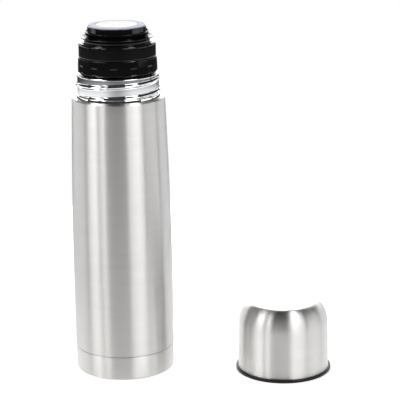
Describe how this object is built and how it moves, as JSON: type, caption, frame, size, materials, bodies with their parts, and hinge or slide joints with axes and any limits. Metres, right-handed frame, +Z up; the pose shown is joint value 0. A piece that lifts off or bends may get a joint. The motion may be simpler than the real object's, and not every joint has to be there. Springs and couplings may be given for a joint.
{
  "type": "vacuum flask",
  "caption": "Double-walled steel vacuum flask with a threaded neck, a screw stopper with a push-button pouring valve, and a screw-on cup standing beside it.",
  "frame": {"origin": "centre of the underside of the flask's base, on the surface it stands on", "axes": "+Z up along the flask's axis; +X from the flask towards the cup that stands beside it; +Y to the back"},
  "size_m": [0.1804, 0.0792, 0.2445],
  "materials": {
    "body_steel": "fine brushing round the body",
    "base_steel": "fine brushing round the cap",
    "cup_steel": "fine brushing round the cup",
    "neck_steel": "mirror polished stainless steel",
    "inner_steel": "bright drawn",
    "spring_steel": "drawn wire",
    "getter_metal": "matt sintered",
    "foil": "bright foil",
    "sealing_glass": "fused",
    "silicone": "satin translucent",
    "stopper_plastic": "gloss moulded",
    "cup_plastic": "satin moulded",
    "stem_plastic": "satin moulded",
    "button_white": "gloss moulded, cool white",
    "insert_white": "gloss moulded, warm white"
  },
  "bodies": {
    "flask": {"outer_shell": "body_steel", "base_cap": "base_steel", "base_disc": "inner_steel", "seal_bead": "sealing_glass", "getter_clip": "inner_steel", "getter_pellet": "getter_metal", "inner_vessel": "inner_steel", "foil_wrap": "foil", "threaded_neck": "neck_steel"},
    "stopper_seal": {"stopper_gasket": "silicone"},
    "stopper": {"stopper_body": "stopper_plastic", "stopper_cap": "stopper_plastic", "drip_collar": "stopper_plastic", "stem_guide": "stopper_plastic", "button_spring": "spring_steel"},
    "button": {"button_skirt": "stopper_plastic", "button_cap": "button_white", "button_insert": "insert_white", "valve_stem": "stem_plastic", "valve_plate": "stopper_plastic", "valve_seal": "silicone"},
    "cup": {"cup_shell": "cup_steel", "cup_thread_ring": "cup_plastic"}
  },
  "joints": [
    {"name": "stopper_lift", "type": "slide", "parent": "flask", "child": "stopper_seal", "axis": [0, 0, 1], "range_m": [-0.00101, 0.02501]},
    {"name": "stopper_turn", "type": "hinge", "parent": "stopper_seal", "child": "stopper", "pos_m": [0, 0, 0.2], "axis": [0, 0, 1], "range_deg": [-45, 1125]},
    {"name": "button_press", "type": "slide", "parent": "stopper", "child": "button", "axis": [0, 0, -1], "range_m": [0, 0.0024], "stiffness_N_per_m": 800, "springref_m": -0.006, "deforming": ["button_spring"]},
    {"name": "cup_lift", "type": "slide", "parent": "flask", "child": "cup", "axis": [0, 0, 1], "range_m": [0, 0.25]}
  ],
  "couplings": [
    {"joint": "stopper_lift", "follows": "stopper_turn", "m_per_rad": 0.0012732}
  ]
}
